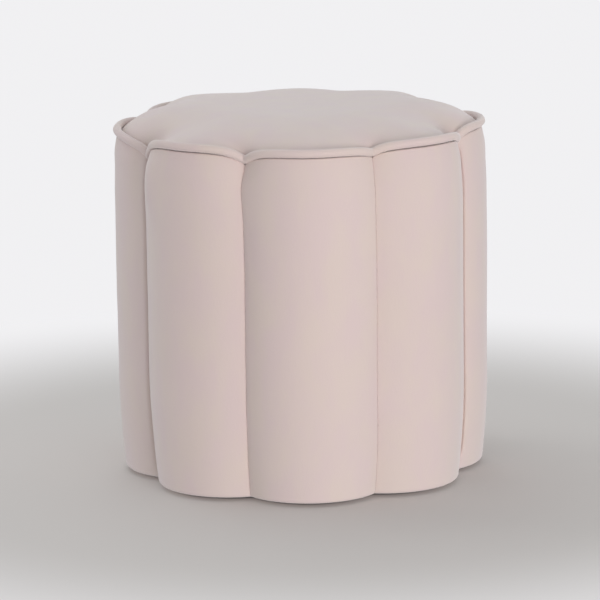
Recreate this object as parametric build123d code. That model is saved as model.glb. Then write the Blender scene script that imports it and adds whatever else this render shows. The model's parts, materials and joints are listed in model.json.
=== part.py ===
from build123d import *
import os
from math import asin, atan2, cos, degrees, radians, sin, sqrt, tan

# A round velvet stool whose sides are upright padded lobes, with a low domed seat and a thick piping round the rim.
# Inside it are two scalloped boards, posts between them, and bent formers with a foam pad over each.
# Millimetres, +Z up. The origin is on the floor, under the middle of the stool, and lobe 1 faces -Y.

# Overall sizes
overall_diameter = 450.0  # across two opposite lobes, at mid height
overall_height = 446.0  # from the floor to the crown of the seat
lobe_count = 8

# Form of the cover
valley_depth = 24.0  # the seams between the lobes lie this far behind the crests of the lobes
seat_crown = 27.0  # the middle of the seat rises this far above the rim
crown_power = 8.0  # how full the crown is: 2 is a plain dome, more is flatter with rounder edges
crown_flat = 260.0  # diameter of the flat in the middle of the crown
rim_dip = 12.5  # the rim drops by this much from a lobe's crest to the seam
rim_draw_in = 8.0  # the lobes are drawn in by this much at the rim
rim_swell = 80.0  # and swell out to full size over this height
base_draw_in = 11.0  # the lobes are drawn in by this much where they turn under the base
base_swell = 120.0  # over this height
base_roll = 4.0  # radius of the roll where they turn under
seam_allowance = 8.0  # velvet turned in along each seam
tuck_width = 20.0  # velvet turned under the base board, at the seams

# Thicknesses of the soft layers
velvet_thickness = 1.5
pad_thickness = 18.0  # foam between a former and the cover
wadding_thickness = 6.0
deck_depth = 32.0  # from the rim down to the board under the seat
dust_cover_thickness = 0.6
dust_cover_margin = 12.0  # from the foot of the lobes to the edge of the dust cover
piping_diameter = 10.0
piping_joint_gap = 0.4  # between the piping's two ends
piping_joint_valley = lobe_count - 2  # the ends meet in the valley after this many lobes, counted from lobe 1

# Frame
former_thickness = 3.0
base_board_thickness = 15.0
top_board_thickness = 12.0
post_width = 38.0
post_depth = 28.0

# Fasteners
screw_diameter = 4.5
screw_head_diameter = 9.0
screw_length = 45.0
screw_recess_width = 1.2
screw_recess_depth = 1.5
pin_diameter = 1.6
pin_head_diameter = 3.6
pin_head_thickness = 1.0
pin_length = 18.0
pins_per_edge = 3  # pins from a former into the edge of a board
pin_spread = 60.0  # degrees of the lobe's arc from the first pin to the last
staple_width = 10.0
staple_leg = 8.0
staple_wire = 0.6  # thickness of the flat wire
staple_wire_width = 1.0
staple_spread = 80.0  # degrees of the lobe's arc from the first staple to the last
cover_staples_per_lobe = 4
cover_staple_margin = 24.0  # from the foot of the lobes
dust_staples_per_lobe = 3
dust_staple_margin = 16.5  # from the foot of the lobes

# Floor glides
glide_count = 4
glide_diameter = 24.0
glide_height = 4.0
glide_edge = 1.0  # bevel round the face that meets the floor
glide_circle = 280.0  # diameter of the circle that the glides stand on
nail_diameter = 2.4
nail_length = 14.0
nail_head_diameter = 8.0
nail_head_thickness = 1.2

# Clearance between neighbouring faces that are curved or soft
fit_gap = 0.2

# Angles, radii and heights that follow
step = 360.0 / lobe_count
half_step = step / 2
outer_radius = overall_diameter / 2
valley_radius = outer_radius - valley_depth
far = 2 * overall_diameter + 2 * overall_height  # past the stool on every side

# Each lobe is turned round its own upright axis, at lobe_centre from the middle
half_chord = valley_radius * sin(radians(half_step))
lobe_rise = outer_radius - valley_radius * cos(radians(half_step))
lobe_radius = (half_chord**2 + lobe_rise**2) / (2 * lobe_rise)
lobe_centre = outer_radius - lobe_radius

cover_bottom = glide_height + dust_cover_thickness
board_bottom = cover_bottom + velvet_thickness
board_top = board_bottom + base_board_thickness
rim_height = overall_height - seat_crown
deck_top = rim_height - deck_depth
deck_bottom = deck_top - top_board_thickness
foot_top = cover_bottom + base_swell
swell_bottom = rim_height - rim_swell

# Insets from the outside of a lobe at mid height
pad_outside = velvet_thickness + fit_gap
pad_inside = pad_outside + pad_thickness
former_outside = pad_inside + fit_gap
former_inside = former_outside + former_thickness
frame_outside = former_inside + fit_gap

# Radii of the arcs in the side's profile
rim_arc = (rim_swell**2 + rim_draw_in**2) / (2 * rim_draw_in)
foot_drop = base_swell - base_roll
foot_arc = (base_draw_in**2 + foot_drop**2 - base_roll**2) / (2 * (base_draw_in - base_roll))


def direction(angle):
    """A level unit vector, at an angle from lobe 1 towards +X."""
    return Vector(sin(radians(angle)), -cos(radians(angle)), 0)


def seam_radius(inset):
    """Distance from the middle at which an inset lobe meets the plane between two lobes."""
    across = lobe_centre * sin(radians(half_step))
    return lobe_centre * cos(radians(half_step)) + sqrt((lobe_radius - inset) ** 2 - across**2)


def outline(crest, valley):
    """The level scalloped outline of the whole stool, through its crests and valleys."""
    arcs = []
    for k in range(lobe_count):
        start = direction(k * step - half_step) * valley
        end = direction(k * step + half_step) * valley
        arcs.append(ThreePointArc(start, direction(k * step) * crest, end))
    return make_face(arcs)


def inset_outline(inset):
    """The scalloped outline, inset all round."""
    return outline(outer_radius - inset, seam_radius(inset))


def prism(inset, low, high):
    """An upright scalloped block from one height to another."""
    return extrude(Pos(0, 0, low) * inset_outline(inset), high - low)


def arc_point(centre, radius, angle):
    """A point on an arc of the side's profile, at an angle below the level."""
    x, z = centre
    return (x + radius * cos(angle), z - radius * sin(angle))


def lobe_body(inset):
    """Lobe 1 inside its cover, turned round its own axis: a rolled foot, straight sides and a drawn-in head.

    It runs on above the rim, which then cuts it.
    """
    full = lobe_radius - inset
    foot = full - base_draw_in
    turn = atan2(foot_drop, foot_arc - base_draw_in)
    swell_centre = (full - foot_arc, foot_top)
    roll_centre = (foot, cover_bottom + base_roll)
    rim_centre = (full - rim_arc, swell_bottom)
    rim_turn = -asin((rim_swell + piping_diameter) / rim_arc)
    swell_end = arc_point(swell_centre, foot_arc, turn)
    rim_edge = arc_point(rim_centre, rim_arc, rim_turn)
    under = (foot, cover_bottom)
    roll_middle = arc_point(roll_centre, base_roll, (turn + radians(90)) / 2)
    profile = [
        ThreePointArc(under, roll_middle, swell_end),
        ThreePointArc(swell_end, arc_point(swell_centre, foot_arc, turn / 2), (full, foot_top)),
        Line((full, foot_top), (full, swell_bottom)),
        ThreePointArc((full, swell_bottom), arc_point(rim_centre, rim_arc, rim_turn / 2), rim_edge),
        Polyline(rim_edge, (rim_edge[0], overall_height), (0, overall_height), (0, cover_bottom), under),
    ]
    return Pos(0, -lobe_centre, 0) * revolve(Plane.XZ * make_face(profile), Axis.Z)


def lobe_cylinder(inset, low, high):
    """A plain upright cylinder on the axis of lobe 1."""
    return Pos(0, -lobe_centre, (low + high) / 2) * Cylinder(lobe_radius - inset, high - low)


def lobe_room(trim=0.0):
    """The room outside the axis of lobe 1, between the two seam planes beside it, each moved in by trim."""
    apex = trim / sin(radians(half_step))
    back = (lobe_centre - apex) * tan(radians(half_step))
    side = (far - apex) * tan(radians(half_step))
    corners = [(-back, -lobe_centre), (back, -lobe_centre), (side, -far), (-side, -far)]
    return extrude(make_face(Polyline(corners, close=True)), far)


def slab(low, high):
    """Everything between two heights."""
    return Pos(0, 0, (low + high) / 2) * Box(far, far, high - low)


def under_rim():
    """Everything under the arch that the rim makes over lobe 1."""
    half = seam_radius(rim_draw_in) * sin(radians(half_step))
    arch = (half**2 + rim_dip**2) / (2 * rim_dip)
    wide = (half + min(arch, 2 * half)) / 2
    low = rim_height - arch + sqrt(arch**2 - wide**2)
    face = make_face(
        [
            ThreePointArc((-wide, low), (0, rim_height), (wide, low)),
            Polyline((wide, low), (wide, 0), (-wide, 0), (-wide, low)),
        ]
    )
    return extrude(Plane.XZ * face, far) & lobe_room()


def rim_tube(radius):
    """A round tube along the rim, with a mitre at each seam."""
    seam = seam_radius(rim_draw_in)
    half = seam * sin(radians(half_step))
    crest = Vector(0, rim_draw_in - outer_radius, rim_height)
    chord = Vector(0, -seam * cos(radians(half_step)), rim_height - rim_dip)
    rise = (crest - chord).length
    bend = (half**2 + rise**2) / (2 * rise)
    inward = (chord - crest).normalized()
    axis = Axis(crest + inward * bend, inward.cross(Vector(1, 0, 0)))
    turn = degrees(atan2(half, bend - rise)) + half_step / 2
    section = Plane(crest, x_dir=(0, 0, 1), z_dir=(1, 0, 0)) * Circle(radius)
    bent = revolve(section.rotate(axis, -turn), axis, 2 * turn)
    mitred = bent & lobe_room()
    return Part() + [Rot(0, 0, k * step) * mitred for k in range(lobe_count)]


def seat_core(inset):
    """The seat inside its cover: the sides above the deck, drawn in to the rim, and the crown."""
    low = deck_top + fit_gap
    rim = rim_height - inset
    sides = []
    for share in (0, 0.5, 1):
        climb = low + (rim_height - low) * share - swell_bottom
        draw = rim_arc - sqrt(rim_arc**2 - climb**2) if climb > 0 else 0
        sides.append(Pos(0, 0, low + (rim - low) * share) * inset_outline(draw + inset))
    rim_crest = outer_radius - rim_draw_in - inset
    rim_valley = rim_crest - seam_radius(rim_draw_in + inset)
    crown = []
    for rise in (0, 0.3, 0.6, 0.8, 0.93, 1):
        crest = max(rim_crest * (1 - rise) ** (1 / crown_power), crown_flat / 2)
        fading = rim_valley * (1 - rise) ** 2 * crest / rim_crest
        crown.append(Pos(0, 0, rim + seat_crown * rise) * outline(crest, crest - fading))
    return loft(sides) + loft(crown)


def staple():
    """A staple that is driven up from below, with the underside of its crown at the origin."""
    leg_place = (staple_width - staple_wire_width) / 2
    crown = Pos(0, 0, staple_wire / 2) * Box(staple_width, staple_wire_width, staple_wire)
    leg = Pos(0, 0, staple_leg / 2) * Box(staple_wire_width, staple_wire_width, staple_leg)
    return crown + Pos(leg_place, 0, 0) * leg + Pos(-leg_place, 0, 0) * leg


def screw_hole():
    """The countersunk hole that a screw fills, pointing up from the origin."""
    cone = (screw_head_diameter - screw_diameter) / 2
    head = Pos(0, 0, cone / 2) * Cone(screw_head_diameter / 2, screw_diameter / 2, cone)
    return head + Pos(0, 0, screw_length / 2) * Cylinder(screw_diameter / 2, screw_length)


def screw():
    """A countersunk screw that points up, with its head flush at the origin and a cross recess in it."""
    slot = Box(screw_head_diameter / 2, screw_recess_width, 2 * screw_recess_depth)
    return screw_hole() - slot - Rot(0, 0, 90) * slot


def pin():
    """A headed pin that points along +Y, with its head flush at the origin."""
    shank = Pos(0, 0, -pin_length / 2) * Cylinder(pin_diameter / 2, pin_length)
    head = Pos(0, 0, -pin_head_thickness / 2) * Cylinder(pin_head_diameter / 2, pin_head_thickness)
    return Rot(90, 0, 0) * (shank + head)


def along_lobe(piece, count, spread, inset, height):
    """Copies of a piece, evenly spaced along the inset outline of lobe 1 and turned to its normal."""
    copies = []
    for i in range(count):
        angle = spread * (i / (count - 1) - 0.5)
        place = direction(angle) * (lobe_radius - inset) + Vector(0, -lobe_centre, height)
        copies.append(Pos(place) * Rot(0, 0, angle) * piece)
    return copies


def round_stool(pieces):
    """The pieces of lobe 1, repeated on every lobe."""
    return [Rot(0, 0, k * step) * piece for k in range(lobe_count) for piece in pieces]


# Fasteners, because the pieces that they go through are cut by them
cover_staple_inset = base_draw_in + cover_staple_margin
dust_staple_inset = base_draw_in + dust_staple_margin
cover_staples = round_stool(
    along_lobe(staple(), cover_staples_per_lobe, staple_spread, cover_staple_inset, cover_bottom)
)
dust_staples = round_stool(
    along_lobe(staple(), dust_staples_per_lobe, staple_spread, dust_staple_inset, glide_height - staple_wire)
)
pin_rows = [(board_bottom + board_top) / 2, (deck_bottom + deck_top) / 2]
lobe_pins = [p for z in pin_rows for p in along_lobe(pin(), pins_per_edge, pin_spread, former_outside, z)]
former_pins = round_stool(lobe_pins)

post_centre = seam_radius(frame_outside) - fit_gap - post_depth / 2
post_angles = [k * step + half_step for k in range(lobe_count)]
post_spots = [Pos(direction(a) * post_centre) * Rot(0, 0, a) for a in post_angles]
screw_up = [spot * Pos(0, 0, board_bottom) for spot in post_spots]
screw_down = [spot * Pos(0, 0, deck_top) * Rot(180, 0, 0) for spot in post_spots]
base_screws = [place * screw() for place in screw_up]
top_screws = [place * screw() for place in screw_down]
base_screw_holes = [place * screw_hole() for place in screw_up]
top_screw_holes = [place * screw_hole() for place in screw_down]

glide_angles = [(k + 0.5) * 360.0 / glide_count for k in range(glide_count)]
glide_spots = [Pos(direction(a) * glide_circle / 2) for a in glide_angles]
nail_head_low = (glide_height - nail_head_thickness) / 2
nail = Pos(0, 0, nail_head_low + nail_head_thickness / 2) * Cylinder(nail_head_diameter / 2, nail_head_thickness)
nail += Pos(0, 0, nail_head_low + nail_length / 2) * Cylinder(nail_diameter / 2, nail_length)
glide_nails = [spot * nail for spot in glide_spots]

# Piping
cord_room = piping_diameter / 2 - velvet_thickness
joint_angle = piping_joint_valley * step + half_step
joint_slit = Pos(direction(joint_angle) * far / 2) * Rot(0, 0, joint_angle) * Box(piping_joint_gap, far, far)
piping_core = rim_tube(cord_room - fit_gap) - joint_slit
piping_cover = rim_tube(piping_diameter / 2) - rim_tube(cord_room) - joint_slit
piping_groove = rim_tube(piping_diameter / 2 + fit_gap)

# Frame
base_board = prism(frame_outside, board_bottom, board_top)
base_board -= base_screw_holes + glide_nails + cover_staples + dust_staples + former_pins
top_board = prism(frame_outside, deck_bottom, deck_top) - (top_screw_holes + former_pins)
post = Pos(0, 0, (board_top + deck_bottom) / 2) * Box(post_width, post_depth, deck_bottom - board_top)
former = lobe_cylinder(former_outside, board_bottom, deck_top)
former -= lobe_cylinder(former_inside, board_bottom, deck_top)
former = (former & lobe_room()) - lobe_pins

# Sides
foot_crest = outer_radius - base_draw_in
foot_seam = seam_radius(base_draw_in)
pad = lobe_body(pad_outside) & lobe_room(velvet_thickness + fit_gap) & slab(board_bottom + fit_gap, deck_top)
pad -= lobe_cylinder(pad_inside, 0, overall_height)
hollow = lobe_body(velvet_thickness) & lobe_room(velvet_thickness) & slab(board_bottom, far)
core = lobe_body(velvet_thickness + seam_allowance) & slab(board_bottom, far)
seat_room = lobe_body(velvet_thickness) & slab(deck_top, far)
tuck_opening = Cylinder(foot_seam - tuck_width, 2 * board_bottom)
panel = (lobe_body(0) & under_rim()) - hollow - core - seat_room - tuck_opening
panel -= lobe_cylinder(pad_inside, board_bottom, deck_top)
panel = panel - piping_groove - (cover_staples + dust_staples)

# Seat
foam_outside = pad_outside + wadding_thickness + fit_gap
top_panel = seat_core(0) - seat_core(velvet_thickness) - round_stool([under_rim()]) - piping_groove
seat_wadding = seat_core(pad_outside) - seat_core(pad_outside + wadding_thickness) - piping_groove
seat_foam = seat_core(foam_outside)

# Underside
dust_outline = outline(foot_crest - dust_cover_margin, foot_seam - dust_cover_margin)
dust_cover = extrude(Pos(0, 0, glide_height) * dust_outline, dust_cover_thickness)
dust_cover -= dust_staples + glide_nails
glide_body = Pos(0, 0, glide_height / 2) * Cylinder(glide_diameter / 2, glide_height)
glide_body = chamfer(glide_body.edges().group_by(Axis.Z)[0], glide_edge) - nail

nodes = {
    "base_board": base_board,
    "top_board": top_board,
    "base_screws": Compound(children=base_screws),
    "top_screws": Compound(children=top_screws),
    "former_pins": Compound(children=former_pins),
    "cover_staples": Compound(children=cover_staples),
    "dust_cover": dust_cover,
    "dust_cover_staples": Compound(children=dust_staples),
    "glide_nails": Compound(children=glide_nails),
    "piping_core": piping_core,
    "piping_cover": piping_cover,
    "seat_foam": seat_foam,
    "seat_wadding": seat_wadding,
    "top_panel": top_panel,
}
for k in range(lobe_count):
    turn = Rot(0, 0, k * step)
    nodes[f"frame_post_{k + 1}"] = post_spots[k] * post - [base_screw_holes[k], top_screw_holes[k]]
    nodes[f"lobe_former_{k + 1}"] = turn * former
    nodes[f"lobe_pad_{k + 1}"] = turn * pad
    nodes[f"side_panel_{k + 1}"] = turn * panel - glide_nails
for k in range(glide_count):
    nodes[f"glide_{k + 1}"] = glide_spots[k] * glide_body

os.makedirs("parts", exist_ok=True)
for name, shape in nodes.items():
    export_step(shape, f"parts/{name}.step")
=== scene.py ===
import json
from math import asin, atan2, ceil, cos, exp, hypot, pi, radians, sin, sqrt

import bpy
import numpy as np
from mathutils import Matrix, Vector, noise
from mathutils.bvhtree import BVHTree


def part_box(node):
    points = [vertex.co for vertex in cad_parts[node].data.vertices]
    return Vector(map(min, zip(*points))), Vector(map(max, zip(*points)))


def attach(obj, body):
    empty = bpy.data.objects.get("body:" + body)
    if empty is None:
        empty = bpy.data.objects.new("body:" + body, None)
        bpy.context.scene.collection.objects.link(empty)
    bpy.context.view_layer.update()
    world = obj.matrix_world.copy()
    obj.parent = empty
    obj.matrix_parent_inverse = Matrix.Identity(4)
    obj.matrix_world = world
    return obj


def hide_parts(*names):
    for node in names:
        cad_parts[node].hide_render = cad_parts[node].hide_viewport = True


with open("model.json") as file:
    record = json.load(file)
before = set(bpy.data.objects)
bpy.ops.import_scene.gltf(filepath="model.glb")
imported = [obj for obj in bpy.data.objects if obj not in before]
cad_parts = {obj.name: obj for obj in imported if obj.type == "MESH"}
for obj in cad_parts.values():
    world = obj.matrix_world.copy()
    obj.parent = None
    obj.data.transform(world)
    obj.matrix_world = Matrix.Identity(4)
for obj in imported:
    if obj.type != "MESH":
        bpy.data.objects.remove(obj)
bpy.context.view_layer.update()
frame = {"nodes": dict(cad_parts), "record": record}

# Sizes of the stool, in metres, read from the frame where it shows them
LOBES = sum(1 for name in frame["nodes"] if name.startswith("side_panel_"))
STEP = 2 * pi / LOBES
HALF_STEP = STEP / 2
PANEL_LOW, PANEL_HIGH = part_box("side_panel_1")
PIPING_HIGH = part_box("piping_cover")[1]
PAD_LOW, PAD_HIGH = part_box("lobe_pad_1")
DUST_LOW, DUST_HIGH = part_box("dust_cover")
CROWN_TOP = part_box("top_panel")[1][2]
PIPING_RADIUS = 0.005
CREST_RADIUS = -PANEL_LOW[1]
VALLEY_RADIUS = PANEL_HIGH[0] / sin(HALF_STEP)
RIM_CREST = PIPING_HIGH[0] - PIPING_RADIUS
RIM_HEIGHT = PIPING_HIGH[2] - PIPING_RADIUS
RIM_DRAW = CREST_RADIUS - RIM_CREST
COVER_BOTTOM = PANEL_LOW[2]
DECK_TOP = PAD_HIGH[2]

# Sizes that the boxes can't show
RIM_SWELL = 0.080
BASE_SWELL = 0.120
BASE_DRAW = 0.011
BASE_ROLL = 0.004
TUCK = 0.019
VELVET = 0.0015
PAD = 0.018
WADDING = 0.006
LAYER_GAP = 0.0003
CORD_RADIUS = 0.0033

# Each lobe is round about its own upright axis, LOBE_CENTRE from the middle
LOBE_RISE = CREST_RADIUS - VALLEY_RADIUS * cos(HALF_STEP)
LOBE_RADIUS = ((VALLEY_RADIUS * sin(HALF_STEP)) ** 2 + LOBE_RISE**2) / (2 * LOBE_RISE)
LOBE_CENTRE = CREST_RADIUS - LOBE_RADIUS
RIM_RADIUS = LOBE_RADIUS - RIM_DRAW

# How the sewn cover strays from an even one, valley by valley from the one right of the front lobe
VALLEY_DIPS = [0.0075, 0.0165, 0.0090, 0.0100, 0.0100, 0.0085, 0.0195, 0.0140]
CREASES = [0.0006, 0.0030, 0.0015, 0.0020, 0.0015, 0.0020, 0.0032, 0.0005]
SEAM_PULLS = [0.0, 0.0, 0.0010, 0.0, -0.0012, 0.0, 0.0, -0.0032]
PINCHES = [0.0, 0.0, 0.0025, 0.0025, 0.0025, 0.0025, 0.0040, 0.0006]
FILLS = [0.0, -0.0016, 0.0, 0.0, 0.0, 0.0, 0.0030, 0.0]
FOLDS = [0.0, 0.0096, 0.0, 0.0, 0.0, 0.0, 0.0, 0.0]
JOINT_VALLEY = LOBES - 2

# How sharply the rim drops into each valley, on the lobe at the valley's left and on the one at its right
DIP_POWERS = [(3.5, 7.0), (3.0, 8.0), (4.0, 4.0), (4.0, 4.0)]
DIP_POWERS += [(4.0, 4.0), (4.0, 4.0), (2.5, 2.7), (5.0, 4.5)]

# How the rim strays on each lobe, from the front one on to the right
RIM_LIFTS = [-0.0008, 0.0030, 0.0020, 0.0020, -0.0020, 0.0030, -0.0015, 0.0015]
RIM_TILTS = [0.0, 0.0, 0.0, 0.0, 0.0, 0.0, 0.0060, 0.0]
RIM_OUTS = [0.0, 0.0, 0.0, 0.0, 0.0, 0.0, 0.0020, 0.0]

# How far the velvet swells under the piping, and on the lobe right of the piping's joint
RIM_BULGE = 0.0012
JOINT_BULGE = 0.0055

# How close to its edge the seat's dome starts to fall away: a higher power falls later
FRONT_POWER = 6.0
BACK_POWER = 8.0
SIDE_POWER = 4.0

# How far from a seam its strays reach: a fill in shares of half a lobe, the others in metres
FILL_SHARE = 2 / 15
PINCH_WIDTH = 0.0032
FOLD_WIDTH_LEFT = 0.0090
FOLD_WIDTH_RIGHT = 0.0066
PINNED_WIDTH = 0.0075

# Steps in which the velvet turns in at a seam, and the least that the last one can be
TURN_DEPTHS = (0.0007, 0.0025)
SHORT_TURN = 0.0010
LEAST_TURN = 0.0004

# Spacing of the cloth's grid, and the room that the pressure of the padding fills
SPACING = 0.0045
SIDE_SLACK = 0.0006
CROWN_SLACK = 0.0055
SEAT_GRID = 96


def wander(x, y, z, size):
    """A smooth uneven value from -1 to 1, with swells of about the given size."""
    return noise.noise(Vector((x, y, z)) / size)


def smooth_step(value):
    """0 up to 0, 1 from 1 on, and a smooth rise between."""
    t = min(max(value, 0.0), 1.0)
    return t * t * (3 - 2 * t)


def swell(offset, width):
    """1 at no offset, fading softly to 0 over about twice the width."""
    return exp(-((offset / width) ** 2))


def seam_turn(radius):
    """How far an arc about a lobe's axis turns from the crest to the seam."""
    return HALF_STEP + asin(min(LOBE_CENTRE * sin(HALF_STEP) / radius, 1.0))


def seam_distance(radius):
    """Distance from the stool's middle to a seam, for an arc about the lobes' axes."""
    across = LOBE_CENTRE * sin(HALF_STEP)
    return LOBE_CENTRE * cos(HALF_STEP) + sqrt(radius**2 - across**2)


def lobe_spot(lobe, radius, turn, height):
    """A point of a lobe: a distance from its own axis, a turn from its crest and a height."""
    x = radius * sin(turn)
    y = -(LOBE_CENTRE + radius * cos(turn))
    angle = lobe * STEP
    return Vector((x * cos(angle) - y * sin(angle), x * sin(angle) + y * cos(angle), height))


def lobe_turn(off, radius):
    """The turn about a lobe's axis that a direction from the stool's middle meets at a radius."""
    return off + asin(max(min(LOBE_CENTRE * sin(off) / radius, 1.0), -1.0))


def valley_line(valley):
    """A level unit vector from the middle towards a valley."""
    angle = valley * STEP + HALF_STEP
    return Vector((sin(angle), -cos(angle), 0))


def across_valley(valley):
    """A level unit vector across a valley, towards the lobe on its right."""
    return Vector((0, 0, 1)).cross(valley_line(valley))


def rim_height(lobe, share):
    """Height of the piping's middle along a lobe, from -1 at the seam on its left to 1 on its right."""
    valley = (lobe if share > 0 else lobe - 1) % LOBES
    power = DIP_POWERS[valley][0 if share > 0 else 1]
    lift = RIM_LIFTS[lobe % LOBES] - RIM_TILTS[lobe % LOBES] * share
    lift += 0.0005 * wander(lobe * 2.3, share, 3.1, 0.6)
    return RIM_HEIGHT - VALLEY_DIPS[valley] * abs(share) ** power + lift * (1 - share**2)


def valley_fill(valley, aside, height):
    """How far a valley is filled out by the padding, at a share of half a lobe aside from its seam."""
    return FILLS[valley] * smooth_step((height - 0.03) / 0.12) * swell(aside, FILL_SHARE)


def rim_spot(lobe, share):
    """A point on the line that the middle of the piping follows."""
    turn = share * seam_turn(RIM_RADIUS)
    stray = (RIM_OUTS[lobe % LOBES] + 0.0005 * wander(lobe * 1.7, share, 8.7, 0.6)) * (1 - share**2)
    spot = lobe_spot(lobe, RIM_RADIUS + 0.0006 + stray, turn, rim_height(lobe, share))
    valley = (lobe if share > 0 else lobe - 1) % LOBES
    return spot + valley_line(valley) * valley_fill(valley, 1 - abs(share), spot.z)


def seam_stray(valley, height):
    """How far a seam strays sideways at a height, towards the right of its valley."""
    held = smooth_step(height / 0.05) * smooth_step((RIM_HEIGHT - 0.01 - height) / 0.03)
    slow = 0.0012 * wander(valley * 3.7, 1.3, height / 0.11, 1.0)
    quick = 0.0004 * wander(valley * 1.9, 7.7, height / 0.03, 1.0)
    pulled = SEAM_PULLS[valley] * swell(RIM_HEIGHT - 0.045 - height, 0.022)
    return (slow + quick + pulled) * held


def stretch(count):
    """Even shares from 0 up to, but not with, 1."""
    return [i / count for i in range(count)]


def side_profile():
    """Points up a lobe's crest, as (drawn in, height), from the edge turned under the base to the rim."""
    rim_arc = (RIM_SWELL**2 + RIM_DRAW**2) / (2 * RIM_DRAW)
    drop = BASE_SWELL - BASE_ROLL
    foot_arc = (BASE_DRAW**2 + drop**2 - BASE_ROLL**2) / (2 * (BASE_DRAW - BASE_ROLL))
    lean = atan2(drop, foot_arc - BASE_DRAW)
    foot_top = COVER_BOTTOM + BASE_SWELL
    swell_bottom = RIM_HEIGHT - RIM_SWELL
    fine = 0.012
    points = [(BASE_DRAW + TUCK * (1 - share), COVER_BOTTOM) for share in stretch(5)]
    for share in stretch(4):
        angle = pi / 2 + (lean - pi / 2) * share
        points.append((BASE_DRAW - BASE_ROLL * cos(angle), COVER_BOTTOM + BASE_ROLL * (1 - sin(angle))))
    for share in stretch(ceil(drop / SPACING)):
        angle = lean * (1 - share)
        points.append((foot_arc * (1 - cos(angle)), foot_top - foot_arc * sin(angle)))
    for share in stretch(ceil((swell_bottom - foot_top) / SPACING)):
        points.append((0.0, foot_top + (swell_bottom - foot_top) * share))
    climbs = [(RIM_SWELL - fine) * share for share in stretch(ceil((RIM_SWELL - fine) / SPACING))]
    climbs += [RIM_SWELL - fine + (fine - PIPING_RADIUS) * share for share in stretch(5)]
    points += [(rim_arc - sqrt(rim_arc**2 - climb**2), swell_bottom + climb) for climb in climbs]
    return points


# Mesh helpers


def mesh_piece(name, points, faces):
    """A new object at the origin with these points and faces."""
    mesh = bpy.data.meshes.new(name)
    mesh.from_pydata([tuple(p) for p in points], [], faces)
    mesh.update()
    piece = bpy.data.objects.new(name, mesh)
    bpy.context.scene.collection.objects.link(piece)
    return piece


def rebuild(piece, points, faces):
    """Give a piece new points and faces."""
    piece.data.clear_geometry()
    piece.data.from_pydata([tuple(p) for p in points], [], faces)
    piece.data.update()


def grid_faces(rows, columns):
    """Faces of a grid whose points run along each row in turn."""
    corners = [(i * columns + j) for i in range(rows - 1) for j in range(columns - 1)]
    return [(a, a + 1, a + columns + 1, a + columns) for a in corners]


def ring_faces(rings, count):
    """Faces between rings that run round a form, facing outward where the rings turn to the left going up."""
    faces = []
    for i in range(rings - 1):
        for j in range(count):
            k = (j + 1) % count
            faces.append((i * count + j, i * count + k, (i + 1) * count + k, (i + 1) * count + j))
    return faces


def first_cap(count):
    """A face over the first ring."""
    return tuple(range(count - 1, -1, -1))


def last_cap(total, count):
    """A face over the last ring."""
    return tuple(range(total - count, total))


def ring_piece(name, rings):
    """A closed piece through rings of points, with a face over its first and its last ring."""
    count = len(rings[0])
    points = [p for ring in rings for p in ring]
    faces = ring_faces(len(rings), count) + [first_cap(count), last_cap(len(points), count)]
    return mesh_piece(name, points, faces)


def apply_modifiers(piece):
    """Apply every modifier on a piece, in order."""
    bpy.ops.object.select_all(action="DESELECT")
    bpy.context.view_layer.objects.active = piece
    piece.select_set(True)
    for modifier in list(piece.modifiers):
        bpy.ops.object.modifier_apply(modifier=modifier.name)
    piece.select_set(False)


def thicken(piece, thickness, levels=1):
    """Smooth a sheet and give it its thickness on the inside."""
    if levels:
        smooth = piece.modifiers.new("smooth", "SUBSURF")
        smooth.levels = levels
        smooth.render_levels = levels
    solid = piece.modifiers.new("thickness", "SOLIDIFY")
    solid.thickness = thickness
    solid.offset = -1
    apply_modifiers(piece)


def finish_piece(piece, material, slot, *nodes):
    """Give a piece its material, and let it ride and stand for its CAD nodes."""
    piece.data.materials.clear()
    piece.data.materials.append(material)
    for polygon in piece.data.polygons:
        polygon.use_smooth = True
    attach(piece, "root")
    if nodes:
        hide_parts(*nodes)
    return piece


# Velvet on the sides

PROFILE = side_profile()
HALF_WIDTH = LOBE_RADIUS * seam_turn(LOBE_RADIUS)
SEAM_ALLOWANCE = 0.006


def across_lobe():
    """Shares across a lobe from seam to seam, closer together near the seams."""
    near = [1 - gap / HALF_WIDTH for gap in (0.0, 0.0012, 0.0027, 0.0046, 0.0070, 0.0100)]
    half = ceil((HALF_WIDTH - 0.0100) / SPACING)
    middle = [near[-1] * j / half for j in range(1 - half, half)]
    return [-share for share in near] + middle + near[::-1]


SHARES = across_lobe()


def seam_hold(height):
    """1 along most of a seam's height, and 0 at the base and at the rim."""
    foot = smooth_step((height - COVER_BOTTOM - 0.002) / 0.025)
    return foot * smooth_step((RIM_HEIGHT - 0.006 - height) / 0.014)


def seam_shift(valley, aside, height):
    """How far out of its even place the velvet lies beside a seam: fuller near it and pulled in along it."""
    pulled = PINCHES[valley] * seam_hold(height) * swell(aside * HALF_WIDTH, PINCH_WIDTH)
    return valley_fill(valley, aside, height) - pulled


def seam_fold(valley, aside, height, width):
    """How far the velvet beside a seam is folded in behind the lobe on the right of its valley."""
    return FOLDS[valley] * seam_hold(height) * swell(aside * HALF_WIDTH, width)


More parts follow.
